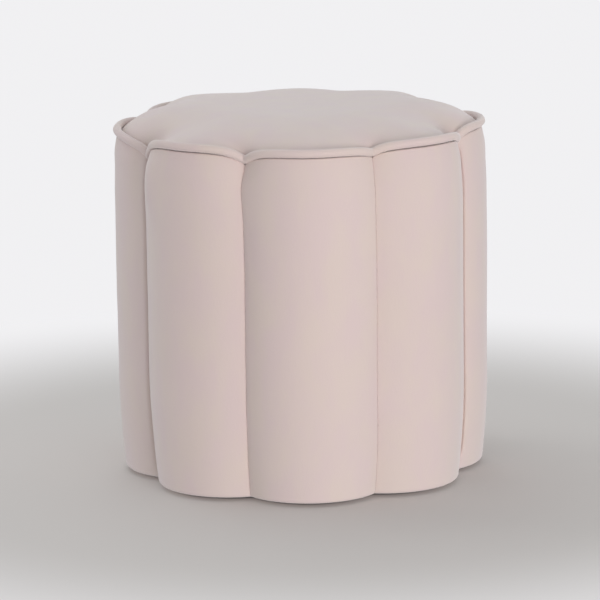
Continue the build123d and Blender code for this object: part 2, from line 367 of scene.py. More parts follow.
def side_spot(lobe, share, draw, height):
    """A point of a lobe's velvet before it fills out, with its upper edge shaped to the rim."""
    lift = max(height - RIM_HEIGHT + RIM_SWELL, 0) / RIM_SWELL
    below_rim = RIM_HEIGHT - height
    z = height + (rim_height(lobe, share) - RIM_HEIGHT) * lift**2
    open_part = smooth_step((height - COVER_BOTTOM) / 0.06) * smooth_step((below_rim - 0.01) / 0.04)
    open_part *= 1 - share**4
    full = RIM_BULGE * swell(below_rim - 0.026, 0.014) * (1 - share**4)
    full += RIM_OUTS[lobe] * (1 - share**2) * lift**2
    before = (lobe - 1) % LOBES
    if lobe == JOINT_VALLEY + 1:
        full += JOINT_BULGE * swell(below_rim - 0.045, 0.035) * swell(share + 0.62, 0.26)
    place = lobe_spot(lobe, LOBE_RADIUS, share * seam_turn(LOBE_RADIUS), z)
    uneven = 0.0006 * wander(place.x, place.y, z, 0.10) + 0.0002 * wander(place.x, place.y, z + 5, 0.035)
    radius = LOBE_RADIUS - draw + full + (uneven - SIDE_SLACK) * open_part
    spot = lobe_spot(lobe, radius, share * seam_turn(radius), z)
    spot += across_valley(before) * seam_stray(before, z) * max(-share, 0) ** 3
    spot += across_valley(lobe) * seam_stray(lobe, z) * max(share, 0) ** 3
    spot += valley_line(before) * seam_shift(before, 1 + share, z)
    spot += valley_line(lobe) * seam_shift(lobe, 1 - share, z)
    spot += across_valley(before) * seam_fold(before, 1 + share, height, FOLD_WIDTH_RIGHT)
    spot += across_valley(lobe) * seam_fold(lobe, 1 - share, height, FOLD_WIDTH_LEFT)
    return spot


def velvet_side(lobe):
    """One lobe's velvet, from the edge turned under the base to the piping, held along its seams."""
    points = [side_spot(lobe, share, draw, height) for draw, height in PROFILE for share in SHARES]
    piece = mesh_piece(f"velvet_side_{lobe + 1}", points, grid_faces(len(PROFILE), len(SHARES)))
    sewn = piece.vertex_groups.new(name="sewn")
    for i, (draw, height) in enumerate(PROFILE):
        edge_row = i < 8 or RIM_HEIGHT - height < 0.012
        for j, share in enumerate(SHARES):
            if edge_row or (1 - abs(share)) * HALF_WIDTH < PINNED_WIDTH:
                sewn.add([i * len(SHARES) + j], 1.0, "REPLACE")
    return piece


def seam_inward(line, valley):
    """Ways into the stool along a seam, square to it, and next to none where it runs under the base."""
    out = valley_line(valley)
    ways = []
    for i, spot in enumerate(line):
        ahead = line[min(i + 1, len(line) - 1)] - line[max(i - 1, 0)]
        way = (Vector((0, 0, ahead.dot(out))) - out * ahead.z).normalized()
        ways.append(way * (1.0 if spot.z > COVER_BOTTOM + BASE_ROLL else 0.1))
    return ways


def turn_in_edges(piece, lobe):
    """Turn the velvet in under the piping, and in along the seam on each side of its lobe."""
    points = [v.co.copy() for v in piece.data.vertices]
    faces = [tuple(p.vertices) for p in piece.data.polygons]
    columns = len(SHARES)
    rows = len(PROFILE)
    for draw, drop in ((0.0010, 0.0001), (0.0028, 0.0), (0.0050, -0.0001)):
        first = len(points)
        for j, share in enumerate(SHARES):
            turn = share * seam_turn(RIM_RADIUS)
            edge = points[(rows - 1) * columns + j]
            inward = lobe_spot(lobe, 0, 0, 0) - lobe_spot(lobe, 1, turn, 0)
            points.append(edge + inward * draw + Vector((0, 0, 0.0006 - drop)))
        below = (rows - 1) * columns if first == rows * columns else first - columns
        for j in range(columns - 1):
            faces.append((below + j, below + j + 1, first + j + 1, first + j))
    all_rows = rows + 3
    for side, column, valley in ((-1, 0, (lobe - 1) % LOBES), (1, columns - 1, lobe)):
        edge = [i * columns + column for i in range(all_rows)]
        inward = seam_inward([points[e] for e in edge], valley)
        room = SEAM_ALLOWANCE - PINCHES[valley] - FOLDS[valley] - sum(TURN_DEPTHS)
        first_turn, full_turn = TURN_DEPTHS
        for depth in (first_turn, full_turn if room > LEAST_TURN else SHORT_TURN, max(room, LEAST_TURN)):
            first = len(points)
            points.extend(points[e] + way * depth for e, way in zip(edge, inward))
            for i in range(all_rows - 1):
                a, b, c, d = edge[i], first + i, first + i + 1, edge[i + 1]
                faces.append((a, b, c, d) if side > 0 else (b, a, d, c))
            edge = [first + i for i in range(all_rows)]
    rebuild(piece, points, faces)


# Velvet on the seat


def rim_at(angle):
    """The lobe, and the share across it, that a direction from the middle meets on the rim."""
    lobe = round(angle / STEP)
    turn = lobe_turn(angle - lobe * STEP, RIM_RADIUS)
    return lobe % LOBES, max(min(turn / seam_turn(RIM_RADIUS), 1.0), -1.0)


def seat_edge(angle):
    """Where the seat's velvet meets the inner side of the piping, in a direction from the middle."""
    lobe, across = rim_at(angle)
    rim = rim_spot(lobe, across)
    level = Vector((rim.x, rim.y, 0)).normalized()
    return rim - level * (PIPING_RADIUS + 0.0004 - 0.0030 * abs(across) ** 16) - Vector((0, 0, 0.0010))


def relax(values, weights, load, rounds):
    """Let the inside of a grid settle, each point drawn to its four neighbours and pushed up."""
    for _ in range(rounds):
        pull = sum(w * n for w, n in zip(weights, neighbours(values)))
        values[1:-1, 1:-1] = (pull + load) / sum(weights)
    return values


def neighbours(values):
    """The four neighbours of every inner point of a grid."""
    return [values[:-2, 1:-1], values[2:, 1:-1], values[1:-1, :-2], values[1:-1, 2:]]


def seat_form():
    """The seat's velvet as a grid pressed into a disc, so that it has no pole, and domed by the padding."""
    n = SEAT_GRID + 1
    spread = [sqrt(2) * sin((i / SEAT_GRID - 0.5) * pi / 2) for i in range(n)]
    x, y, z, share = (np.zeros((n, n)) for _ in range(4))
    for i, v in enumerate(spread):
        for j, u in enumerate(spread):
            a = u * sqrt(max(1 - v * v / 2, 0))
            b = v * sqrt(max(1 - u * u / 2, 0))
            share[i, j] = min(hypot(a, b), 1.0)
            edge = seat_edge(atan2(a, -b))
            x[i, j], y[i, j] = edge.x * share[i, j], edge.y * share[i, j]
            z[i, j] = RIM_HEIGHT + (edge.z - RIM_HEIGHT) * share[i, j] ** LOBES
    even = [1.0] * 4
    x = relax(x, even, 0.0, rounds=400)
    y = relax(y, even, 0.0, rounds=400)
    near = [
        1 / ((x[1:-1, 1:-1] - u) ** 2 + (y[1:-1, 1:-1] - v) ** 2)
        for u, v in zip(neighbours(x), neighbours(y))
    ]
    back = np.clip((y + 0.16) / 0.22, 0, 1)
    power = FRONT_POWER + (BACK_POWER - FRONT_POWER) * back * back * (3 - 2 * back)
    power += SIDE_POWER * back * (x / RIM_CREST) ** 4
    push = (share ** (power - 2) * power**2)[1:-1, 1:-1]
    dome = RIM_CREST**2 * (1 - share**power)
    level = relax(z.copy(), near, 0.0, rounds=1200)
    gain = relax(z + dome, near, push, rounds=1200) - level
    z = level + gain * (CROWN_TOP - CROWN_SLACK - level[n // 2, n // 2]) / gain[n // 2, n // 2]
    for i in range(n):
        for j in range(n):
            z[i, j] -= seat_crease(x[i, j], y[i, j])
            z[i, j] += 0.0004 * wander(x[i, j], y[i, j], 2.2, 0.11) * (1 - share[i, j] ** 4)
    return [Vector((x[i, j], y[i, j], z[i, j])) for i in range(n) for j in range(n)]


def seat_crease(x, y):
    """Depth of the soft crease that runs in from each valley of the rim."""
    angle = atan2(x, -y)
    valley = round(angle / STEP - 0.5)
    edge = seat_edge(valley * STEP + HALF_STEP)
    inside = hypot(edge.x, edge.y) - hypot(x, y)
    aside = hypot(x, y) * sin(angle - valley * STEP - HALF_STEP)
    return CREASES[valley % LOBES] * swell(aside, 0.007) * (1 - smooth_step(inside / 0.040))


def velvet_seat():
    """The seat's velvet, held along its edge."""
    n = SEAT_GRID + 1
    piece = mesh_piece("velvet_seat", seat_form(), grid_faces(n, n))
    held = [i * n + j for i in range(n) for j in range(n) if {i, j} & {0, SEAT_GRID}]
    piece.vertex_groups.new(name="sewn").add(held, 1.0, "REPLACE")
    return piece


def turn_down_edge(piece):
    """Turn the seat's velvet down behind the piping."""
    points = [v.co.copy() for v in piece.data.vertices]
    faces = [tuple(p.vertices) for p in piece.data.polygons]
    n = SEAT_GRID + 1
    edge = list(range(n)) + [i * n + SEAT_GRID for i in range(1, n)]
    edge += [SEAT_GRID * n + j for j in range(SEAT_GRID - 1, -1, -1)]
    edge += [i * n for i in range(SEAT_GRID - 1, 0, -1)]
    for inward, down in ((0.0002, 0.0022), (0.0001, 0.0030), (-0.0006, 0.0030)):
        first = len(points)
        for e in edge:
            level = Vector((points[e].x, points[e].y, 0)).normalized()
            points.append(points[e] - level * inward - Vector((0, 0, down)))
        for i in range(len(edge)):
            k = (i + 1) % len(edge)
            faces.append((edge[k], edge[i], first + i, first + k))
        edge = [first + i for i in range(len(edge))]
    rebuild(piece, points, faces)


def settle_cloth(pieces, frames=20, limit=0.004):
    """Let the sewn velvet fill out under a light pressure from the padding, and keep what it becomes."""
    scene = bpy.context.scene
    starts = {piece.name: [v.co.copy() for v in piece.data.vertices] for piece in pieces}
    for piece in pieces:
        cloth = piece.modifiers.new("cloth", "CLOTH")
        settings = cloth.settings
        settings.quality = 5
        settings.mass = 0.25
        settings.tension_stiffness = 30
        settings.compression_stiffness = 30
        settings.shear_stiffness = 12
        settings.bending_stiffness = 3
        settings.use_pressure = True
        settings.uniform_pressure_force = 4
        settings.vertex_group_mass = "sewn"
        settings.effector_weights.gravity = 0
        cloth.collision_settings.use_collision = False
        cloth.point_cache.frame_start = 1
        cloth.point_cache.frame_end = frames
    for moment in range(1, frames + 1):
        scene.frame_set(moment)
    for piece in pieces:
        apply_modifiers(piece)
        for vertex, start in zip(piece.data.vertices, starts[piece.name]):
            move = vertex.co - start
            if move.length > limit:
                vertex.co = start + move * (limit / move.length)
    scene.frame_set(1)


def smooth_seat(piece):
    """Ease out the ripples that settling leaves in the seat's velvet, away from its sewn edge."""
    ease = piece.modifiers.new("ease", "SMOOTH")
    ease.factor = 0.5
    ease.iterations = 40
    ease.vertex_group = "sewn"
    ease.invert_vertex_group = True
    apply_modifiers(piece)


# Piping


def rim_path(spacing=0.003):
    """Points along the middle of the piping, from its joint right round to it, with the corners eased."""
    per_lobe = ceil(2 * RIM_RADIUS * seam_turn(RIM_RADIUS) / spacing)
    path = []
    for k in range(LOBES):
        lobe = (JOINT_VALLEY + 1 + k) % LOBES
        path.extend(rim_spot(lobe, 2 * i / per_lobe - 1) for i in range(per_lobe))
    path.append(rim_spot(JOINT_VALLEY, 1.0))
    for _ in range(3):
        middle = [(path[i - 1] + path[i] * 2 + path[i + 1]) / 4 for i in range(1, len(path) - 1)]
        path = [path[0]] + middle + [path[-1]]
    return path


def lap_ends(path):
    """Lap the piping's two ends in the valley of its joint, with the last one tucked under the first."""
    out = valley_line(JOINT_VALLEY)
    up = Vector((0, 0, 1))
    lapped = [p.copy() for p in path]
    travelled = 0.0
    for i in range(len(path)):
        near = 1 - smooth_step(travelled / 0.016)
        lapped[i] += (out * 0.0022 - up * 0.0012) * near
        travelled += (path[i + 1] - path[i]).length if i + 1 < len(path) else 0
    travelled = 0.0
    for i in range(len(path) - 1, 0, -1):
        near = 1 - smooth_step(travelled / 0.018)
        lapped[i] -= (out * 0.0010 + up * 0.0032) * near
        travelled += (path[i] - path[i - 1]).length
    first = lapped[0] + (lapped[0] - lapped[1]).normalized() * 0.0030
    last = lapped[-1] + (lapped[-1] - lapped[-2]).normalized() * 0.0020
    return [first] + lapped + [last]


def tube_rings(path, count, reach):
    """Rings of points round a path, as far from it as reach says for each angle and distance travelled."""
    rings = []
    travelled = 0.0
    angles = [2 * pi * j / count for j in range(count)]
    for i, p in enumerate(path):
        travelled += (p - path[i - 1]).length if i else 0
        ahead = (path[min(i + 1, len(path) - 1)] - path[max(i - 1, 0)]).normalized()
        out = Vector((p.x, p.y, 0)).normalized()
        out = (out - ahead * out.dot(ahead)).normalized()
        up = out.cross(ahead)
        rings.append([p + (out * cos(a) + up * sin(a)) * reach(a, travelled) for a in angles])
    return rings


def velvet_piping():
    """The velvet tube round the rim, hollow for its cord, with rounded ends that lap in one valley."""
    count = 20
    path = lap_ends(rim_path())

    def outside(angle, travelled):
        return PIPING_RADIUS + 0.0002 * wander(cos(angle), sin(angle), travelled / 0.02, 1.0)

    outer = tube_rings(path, count, outside)
    inner = tube_rings(path, count, lambda angle, travelled: PIPING_RADIUS - VELVET)
    ends = []
    for ring, ahead in ((outer[0], path[0] - path[1]), (outer[-1], path[-1] - path[-2])):
        middle = sum(ring, Vector()) / count
        rounded = []
        for angle in (pi / 8, pi / 4, 3 * pi / 8, 0.97 * pi / 2):
            reach = ahead.normalized() * sin(angle) * PIPING_RADIUS * 0.6
            rounded.append([middle + (p - middle) * cos(angle) + reach for p in ring])
        ends.append(rounded)
    rings = ends[0][::-1] + outer + ends[1]
    points = [p for ring in rings for p in ring]
    shift = len(points)
    faces = ring_faces(len(rings), count) + [first_cap(count), last_cap(shift, count)]
    points += [p for ring in inner for p in ring]
    inside = ring_faces(len(inner), count) + [first_cap(count), last_cap(len(inner) * count, count)]
    faces += [tuple(shift + v for v in reversed(face)) for face in inside]
    return mesh_piece("velvet_piping", points, faces)


def piping_cord():
    """The cord inside the piping, with the grooves of its twisted strands."""
    count = 15
    strands = 3
    lay = 0.016

    def strand(angle, travelled):
        groove = abs(cos(strands / 2 * (angle - 2 * pi * travelled / lay)))
        return CORD_RADIUS * (0.84 + 0.16 * groove)

    return ring_piece("piping_cord", tube_rings(lap_ends(rim_path()), count, strand))


def seam_stitches():
    """Short threads across the bottom of each valley, where the lobes' velvet is sewn together."""
    pitch = 0.011
    reach = 0.0013
    thick = 0.00035
    points = []
    faces = []
    low = COVER_BOTTOM + 0.012
    count = int((RIM_HEIGHT - 0.034 - low) / pitch)
    for valley in range(LOBES):
        along = valley_line(valley)
        across = across_valley(valley)
        for i in range(count):
            z = low + (i + 0.5 + 0.15 * wander(valley * 5.1, i * 1.7, 0.4, 1.0)) * pitch
            draw = next(d for d, h in reversed(PROFILE) if h <= z)
            depth = -seam_shift(valley, 0, z) - 0.0004
            aside = seam_stray(valley, z) + FOLDS[valley] * seam_hold(z)
            middle = along * (seam_distance(LOBE_RADIUS - draw) - depth) + across * aside
            middle.z = z
            lean = across + Vector((0, 0, 0.25))
            first = len(points)
            for share in (-1, -0.6, 0.6, 1):
                size = thick * (0.35 if abs(share) == 1 else 1)
                place = middle + lean * reach * share + along * 0.0006 * share**2
                for k in range(6):
                    angle = pi / 3 * k
                    points.append(place + (along * cos(angle) + Vector((0, 0, 1)) * sin(angle)) * size)
            ring = [tuple(first + v for v in reversed(face)) for face in ring_faces(4, 6)]
            faces += ring + [tuple(range(first, first + 6)), tuple(range(first + 23, first + 17, -1))]
    return mesh_piece("seam_stitches", points, faces)


# Padding under the velvet


def foam_pad(lobe, velvet_piece):
    """The foam between a lobe's former and its velvet, as full as the velvet over it."""
    mesh = velvet_piece.data
    normals = [v.normal.copy() for v in mesh.vertices]
    columns = range(8 if FOLDS[lobe - 1] else 4, len(SHARES) - 4, 2)
    under = VELVET + 2 * LAYER_GAP
    inside = LOBE_RADIUS - VELVET - PAD - LAYER_GAP
    low = PAD_LOW[2] + 0.001
    high = PAD_HIGH[2] - 0.001
    rows = [i for i, (draw, z) in enumerate(PROFILE) if low + 0.001 < z < high - 0.004][::2]
    rings = []
    levels = [(low, rows[0], 0.002)] + [(None, row, 0) for row in rows] + [(high, rows[-1], 0.002)]
    for z, row, ease in levels:
        outer = []
        inner = []
        for j in columns:
            v = row * len(SHARES) + j
            spot = mesh.vertices[v].co - normals[v] * (under + ease)
            height = spot.z if z is None else z
            outer.append(Vector((spot.x, spot.y, height)))
            inner.append(lobe_spot(lobe, inside, SHARES[j] * seam_turn(inside) * 0.95, height))
        rings.append(outer + inner[::-1])
    return ring_piece(f"foam_pad_{lobe + 1}", rings)


def fold_room(angle):
    """How far the seat's padding keeps back from a seam that is folded in."""
    valley = int(angle // STEP)
    aside = (angle - (valley + 0.5) * STEP) * LOBE_CENTRE
    return FOLDS[valley % LOBES] * swell(aside, 0.020)


def seat_rings(cover, depth):
    """Rings of the seat's padding at a depth under its velvet, from the board under it up to its middle."""
    per_lobe = 24
    angles = [STEP * (j / per_lobe - 0.5) for j in range(per_lobe * LOBES)]
    rings = []
    for climb in (0.0, 0.012, 0.020):
        ring = []
        for angle in angles:
            lobe = round(angle / STEP)
            radius = LOBE_RADIUS - RIM_DRAW / 2 - 0.004 - depth - 8 * climb**2 - fold_room(angle)
            height = min(DECK_TOP + LAYER_GAP + climb, seat_edge(angle).z - 0.010 - depth)
            ring.append(lobe_spot(lobe, radius, lobe_turn(angle - lobe * STEP, radius), height))
        rings.append(ring)
    for share in (0.94, 0.85, 0.76, 0.66, 0.55, 0.43, 0.30, 0.16):
        ring = []
        for angle in angles:
            spot = seat_edge(angle) * (share - 5 * fold_room(angle) * share**8)
            hit = cover.ray_cast(Vector((spot.x, spot.y, 1.0)), Vector((0, 0, -1)))[0]
            ring.append(Vector((spot.x, spot.y, hit.z - VELVET - LAYER_GAP - depth)))
        rings.append(ring)
    return rings


def seat_cover(piece):
    """The seat's velvet as a form to measure down from."""
    return BVHTree.FromPolygons(
        [v.co for v in piece.data.vertices], [tuple(p.vertices) for p in piece.data.polygons]
    )


def seat_wadding_layer(cover):
    """The wadding over the seat's foam, open below."""
    outer = seat_rings(cover, 0.0)
    inner = seat_rings(cover, WADDING)
    count = len(outer[0])
    rings = inner[:1] + outer
    points = [p for ring in rings for p in ring]
    faces = ring_faces(len(rings), count) + [last_cap(len(points), count)]
    shift = len(points)
    points += [p for ring in inner[1:] for p in ring]
    inside = ring_faces(len(inner), count) + [last_cap(len(inner) * count, count)]
    for face in inside:
        faces.append(tuple(v if v < count else shift + v - count for v in reversed(face)))
    return mesh_piece("seat_wadding_layer", points, faces)


def foam_seat(cover):
    """The seat's foam, flat where it rests on the board."""
    return ring_piece("foam_seat", seat_rings(cover, WADDING + LAYER_GAP))


def dust_cloth():
    """The cloth stapled under the base, slightly slack between its staples."""
    crest = -DUST_LOW[1]
    foot = LOBE_RADIUS - BASE_DRAW
    valley = seam_distance(foot) - (LOBE_CENTRE + foot - crest)
    per_lobe = 24
    count = per_lobe * LOBES
    rings = 18
    thickness = DUST_HIGH[2] - DUST_LOW[2]
    points = []
    for i in range(rings):
        share = 1 - 0.97 * i / (rings - 1)
        for j in range(count):
            angle = STEP * (j / per_lobe - 0.5)
            off = abs(angle - round(angle / STEP) * STEP) / HALF_STEP
            edge = crest - (crest - valley) * off**1.8
            radius = share * (valley + (edge - valley) * share**3)
            uneven = 0.6 + 0.4 * wander(radius * sin(angle), radius * cos(angle), 4.4, 0.06)
            slack = 0.0010 * smooth_step((1 - share) / 0.22) * uneven
            height = DUST_HIGH[2] - thickness - slack
            points.append(Vector((radius * sin(angle), -radius * cos(angle), height)))
    faces = [tuple(reversed(face)) for face in ring_faces(rings, count)]
    faces.append(tuple(reversed(last_cap(len(points), count))))
    piece = mesh_piece("dust_cloth", points, faces)
    thicken(piece, thickness, levels=0)
    return piece


# Materials


def spread(nodes, links, value, ends, levels, smooth=False):
    """A value brought from one range of numbers to another."""
    node = nodes.new("ShaderNodeMapRange")
    if smooth:
        node.interpolation_type = "SMOOTHSTEP"
    node.inputs["From Min"].default_value, node.inputs["From Max"].default_value = ends
    node.inputs["To Min"].default_value, node.inputs["To Max"].default_value = levels
    links.new(value, node.inputs["Value"])
    return node.outputs["Result"]


class Finish:
    """A material with a Principled shader, and short ways to add its nodes."""

    def __init__(self, name):
        self.material = bpy.data.materials.new(name)
        self.material.use_nodes = True
        self.nodes = self.material.node_tree.nodes
        self.links = self.material.node_tree.links
        self.shader = self.nodes["Principled BSDF"]
        self.place = self.nodes.new("ShaderNodeTexCoord").outputs["Object"]

    def set(self, **values):
        for name, value in values.items():
            self.shader.inputs[name.replace("_", " ")].default_value = value

    def stretched(self, scale):
        mapping = self.nodes.new("ShaderNodeMapping")
        mapping.inputs["Scale"].default_value = scale
        self.links.new(self.place, mapping.inputs["Vector"])
        return mapping.outputs["Vector"]

    def noise(self, scale, detail=2.0, roughness=0.5, vector=None):
        node = self.nodes.new("ShaderNodeTexNoise")
        node.inputs["Scale"].default_value = scale
        node.inputs["Detail"].default_value = detail
        node.inputs["Roughness"].default_value = roughness
        self.links.new(vector or self.place, node.inputs["Vector"])
        return node.outputs["Fac"]

    def cells(self, scale):
        node = self.nodes.new("ShaderNodeTexVoronoi")
        node.inputs["Scale"].default_value = scale
        self.links.new(self.place, node.inputs["Vector"])
        return node.outputs["Distance"]

    def wave(self, scale, distortion, direction="Z", vector=None):
        node = self.nodes.new("ShaderNodeTexWave")
        node.bands_direction = direction
        node.inputs["Scale"].default_value = scale
        node.inputs["Distortion"].default_value = distortion
        node.inputs["Detail"].default_value = 2.0
        self.links.new(vector or self.place, node.inputs["Vector"])
        return node.outputs["Fac"]

    def ramp(self, value, *stops):
        node = self.nodes.new("ShaderNodeValToRGB")
        while len(node.color_ramp.elements) < len(stops):
            node.color_ramp.elements.new(0.5)
        for element, (position, colour) in zip(node.color_ramp.elements, stops):
            element.position = position
            element.color = (*colour, 1)
        self.links.new(value, node.inputs["Fac"])
        return node.outputs["Color"]

    def mix(self, share, first, second):
        node = self.nodes.new("ShaderNodeMix")
        node.data_type = "RGBA"
        for socket, value in ((node.inputs[0], share), (node.inputs[6], first), (node.inputs[7], second)):
            if hasattr(value, "is_linked"):
                self.links.new(value, socket)
            elif isinstance(value, tuple):
                socket.default_value = (*value, 1)
            else:
                socket.default_value = value
        return node.outputs[2]

    def span(self, value, low, high):
        return spread(self.nodes, self.links, value, (0.0, 1.0), (low, high))

    def colour(self, value):
        self.links.new(value, self.shader.inputs["Base Color"])

    def rough(self, value, low, high):
        self.links.new(self.span(value, low, high), self.shader.inputs["Roughness"])

    def bump(self, *layers):
        normal = None
        for value, distance, strength in layers:
            node = self.nodes.new("ShaderNodeBump")
            node.inputs["Distance"].default_value = distance
            node.inputs["Strength"].default_value = strength
            self.links.new(value, node.inputs["Height"])
            if normal:
                self.links.new(normal, node.inputs["Normal"])
            normal = node.outputs["Normal"]
        self.links.new(normal, self.shader.inputs["Normal"])


def velvet(name, pink, warm, shade):
    """Short-pile blush velvet, with soft patches where the nap lies another way, and a sheen at its edges."""
    finish = Finish(name)
    patches = finish.noise(34.0, detail=3.0, vector=finish.stretched((1, 1, 0.45)))
    strokes = finish.noise(11.0, detail=2.0)
    pile = finish.noise(1400.0, detail=1.0)
    weave = finish.noise(420.0, detail=2.0, vector=finish.stretched((1, 1, 0.6)))
    base = finish.ramp(patches, (0.36, pink), (0.64, warm))
    brushed = finish.mix(finish.span(strokes, 0.0, 0.30), base, shade)
    finish.colour(finish.mix(finish.span(pile, 0.0, 0.30), brushed, shade))
    finish.rough(pile, 0.82, 0.98)
    finish.bump((weave, 0.0004, 0.25), (pile, 0.0003, 0.45))
    finish.set(Sheen_Weight=0.45, Sheen_Roughness=0.50, Sheen_Tint=(0.94, 0.95, 0.97, 1))
    finish.set(Specular_IOR_Level=0.15)
    return finish.material


def foam():
    """Open-cell foam, cream, with fine pores."""
    finish = Finish("cream_foam")
    pores = finish.cells(900.0)
    finish.colour(finish.ramp(pores, (0.1, (0.62, 0.56, 0.40)), (0.7, (0.85, 0.80, 0.66))))
    finish.rough(pores, 0.8, 1.0)
    finish.bump((pores, 0.0006, 0.6))
    return finish.material


def wadding():
    """White polyester wadding, a loose mat of fibres."""
    finish = Finish("white_wadding")
    fibres = finish.noise(260.0, detail=6.0, roughness=0.75, vector=finish.stretched((1, 0.25, 0.6)))
    finish.colour(finish.ramp(fibres, (0.3, (0.74, 0.74, 0.72)), (0.7, (0.92, 0.92, 0.90))))
    finish.rough(fibres, 0.85, 1.0)
    finish.bump((fibres, 0.0012, 0.6))
    finish.set(Sheen_Weight=0.3)
    return finish.material


def cord_cotton():
    """Undyed cotton cord."""
    finish = Finish("cotton_cord")
    fibres = finish.noise(700.0, detail=4.0)
    finish.colour(finish.ramp(fibres, (0.3, (0.66, 0.62, 0.53)), (0.7, (0.84, 0.81, 0.74))))
    finish.rough(fibres, 0.85, 1.0)
    finish.bump((fibres, 0.0003, 0.5))
    return finish.material


def cambric():
    """Black non-woven cloth with a grid of small pressed dots."""
    finish = Finish("black_cambric")
    dots = finish.cells(330.0)
    fibres = finish.noise(900.0, detail=4.0)
    base = finish.ramp(fibres, (0.3, (0.012, 0.012, 0.013)), (0.7, (0.045, 0.045, 0.048)))
    finish.colour(finish.mix(finish.span(dots, 0.35, 0.0), base, (0.02, 0.02, 0.021)))
    finish.rough(fibres, 0.75, 0.95)
    finish.bump((dots, 0.0003, 0.5), (fibres, 0.0002, 0.4))
    return finish.material


def plywood():
    """Birch plywood: pale veneer on its faces and thin dark glue lines between its plies."""
    finish = Finish("birch_plywood")
    grain = finish.noise(26.0, detail=6.0, roughness=0.65, vector=finish.stretched((1, 9, 1)))
    plies = finish.wave(105.0, 0.4)
    veneer = finish.ramp(grain, (0.3, (0.50, 0.34, 0.19)), (0.7, (0.70, 0.53, 0.34)))
    finish.colour(finish.mix(finish.span(plies, 0.0, 0.55), veneer, (0.36, 0.22, 0.11)))
    finish.rough(grain, 0.55, 0.8)
    finish.bump((grain, 0.0004, 0.4))
    return finish.material


def bent_plywood():
    """Thin plywood with its grain upright, so that it bends round a lobe."""
    finish = Finish("bent_plywood")
    grain = finish.noise(60.0, detail=6.0, roughness=0.7, vector=finish.stretched((1, 1, 0.06)))
    finish.colour(finish.ramp(grain, (0.3, (0.42, 0.28, 0.15)), (0.7, (0.64, 0.47, 0.29))))
    finish.rough(grain, 0.55, 0.8)
    finish.bump((grain, 0.0004, 0.5))
    return finish.material


def pine():
    """Planed pine with its growth rings along the post."""
    finish = Finish("planed_pine")
    rings = finish.wave(38.0, 6.0, direction="X", vector=finish.stretched((1, 1, 0.05)))
    fibres = finish.noise(220.0, detail=4.0, vector=finish.stretched((1, 1, 0.04)))
    base = finish.ramp(rings, (0.2, (0.74, 0.57, 0.36)), (0.85, (0.55, 0.36, 0.18)))
    finish.colour(finish.mix(finish.span(fibres, 0.0, 0.35), base, (0.45, 0.29, 0.14)))
    finish.rough(fibres, 0.5, 0.75)
    finish.bump((fibres, 0.0003, 0.5))
    return finish.material


def zinc_steel():
    """Zinc-plated steel, with a faint spangle and handling marks."""
    finish = Finish("zinc_steel")
    spangle = finish.cells(420.0)
    marks = finish.noise(150.0, detail=5.0)
    finish.colour(finish.ramp(spangle, (0.1, (0.46, 0.46, 0.47)), (0.8, (0.66, 0.66, 0.65))))
    finish.rough(marks, 0.28, 0.5)
    finish.bump((marks, 0.0001, 0.3))
    finish.set(Metallic=1.0)
    return finish.material


def glide_nylon():
    """Black moulded nylon, scuffed where it meets the floor."""
    finish = Finish("black_nylon")
    grain = finish.noise(1200.0, detail=2.0)
    scuffs = finish.noise(180.0, detail=5.0, vector=finish.stretched((1, 6, 1)))
    finish.colour(finish.ramp(scuffs, (0.35, (0.014, 0.014, 0.015)), (0.75, (0.055, 0.054, 0.052))))
    finish.rough(scuffs, 0.42, 0.7)
    finish.bump((grain, 0.00008, 0.4))
    return finish.material


# The stool

BLUSH = (0.680, 0.545, 0.528)
BLUSH_WARM = (0.690, 0.570, 0.515)
BLUSH_SHADE = (0.610, 0.497, 0.480)
blush_velvet = velvet("blush_velvet", BLUSH, BLUSH_WARM, BLUSH_SHADE)
cream_foam = foam()

sides = [velvet_side(lobe) for lobe in range(LOBES)]
seat = velvet_seat()
settle_cloth(sides + [seat])
smooth_seat(seat)
for lobe, piece in enumerate(sides):
    pad = finish_piece(foam_pad(lobe, piece), cream_foam, "foam", f"lobe_pad_{lobe + 1}")
    turn_in_edges(piece, lobe)
    thicken(piece, VELVET)
    finish_piece(piece, blush_velvet, "velvet", f"side_panel_{lobe + 1}")

cover = seat_cover(seat)
seat_foam = finish_piece(foam_seat(cover), cream_foam, "foam", "seat_foam")
seat_wadding = finish_piece(seat_wadding_layer(cover), wadding(), "wadding", "seat_wadding")
turn_down_edge(seat)
thicken(seat, VELVET)
finish_piece(seat, blush_velvet, "velvet", "top_panel")

cord = finish_piece(piping_cord(), cord_cotton(), "cord", "piping_core")
piping = finish_piece(velvet_piping(), blush_velvet, "velvet", "piping_cover")
rim = lap_ends(rim_path())
finish_piece(seam_stitches(), blush_velvet, "velvet")
dust = finish_piece(dust_cloth(), cambric(), "cambric", "dust_cover")

FINISHES = {
    "plywood": plywood(),
    "bent_plywood": bent_plywood(),
    "timber": pine(),
    "zinc_steel": zinc_steel(),
    "glide_plastic": glide_nylon(),
}
for row in frame["record"]["subparts"]:
    finish = FINISHES.get(row["material_slot"])
    if finish:
        for slot in frame["nodes"][row["node"]].material_slots:
            slot.material = finish


# Floor, light and camera

FLOOR_NEAR = (0.66, 0.62, 0.60)
BACKDROP = (0.88, 0.875, 0.89)


def sees_backdrop(nodes, links):
    """1 for what the camera, a shine or a clear surface sees, and 0 for what only lights the stool."""
    ray = nodes.new("ShaderNodeLightPath")
    share = ray.outputs["Is Camera Ray"]
    for kind in ("Is Glossy Ray", "Is Transmission Ray"):
        most = nodes.new("ShaderNodeMath")
        most.operation = "MAXIMUM"
        links.new(share, most.inputs[0])
        links.new(ray.outputs[kind], most.inputs[1])
        share = most.outputs["Value"]
    return share


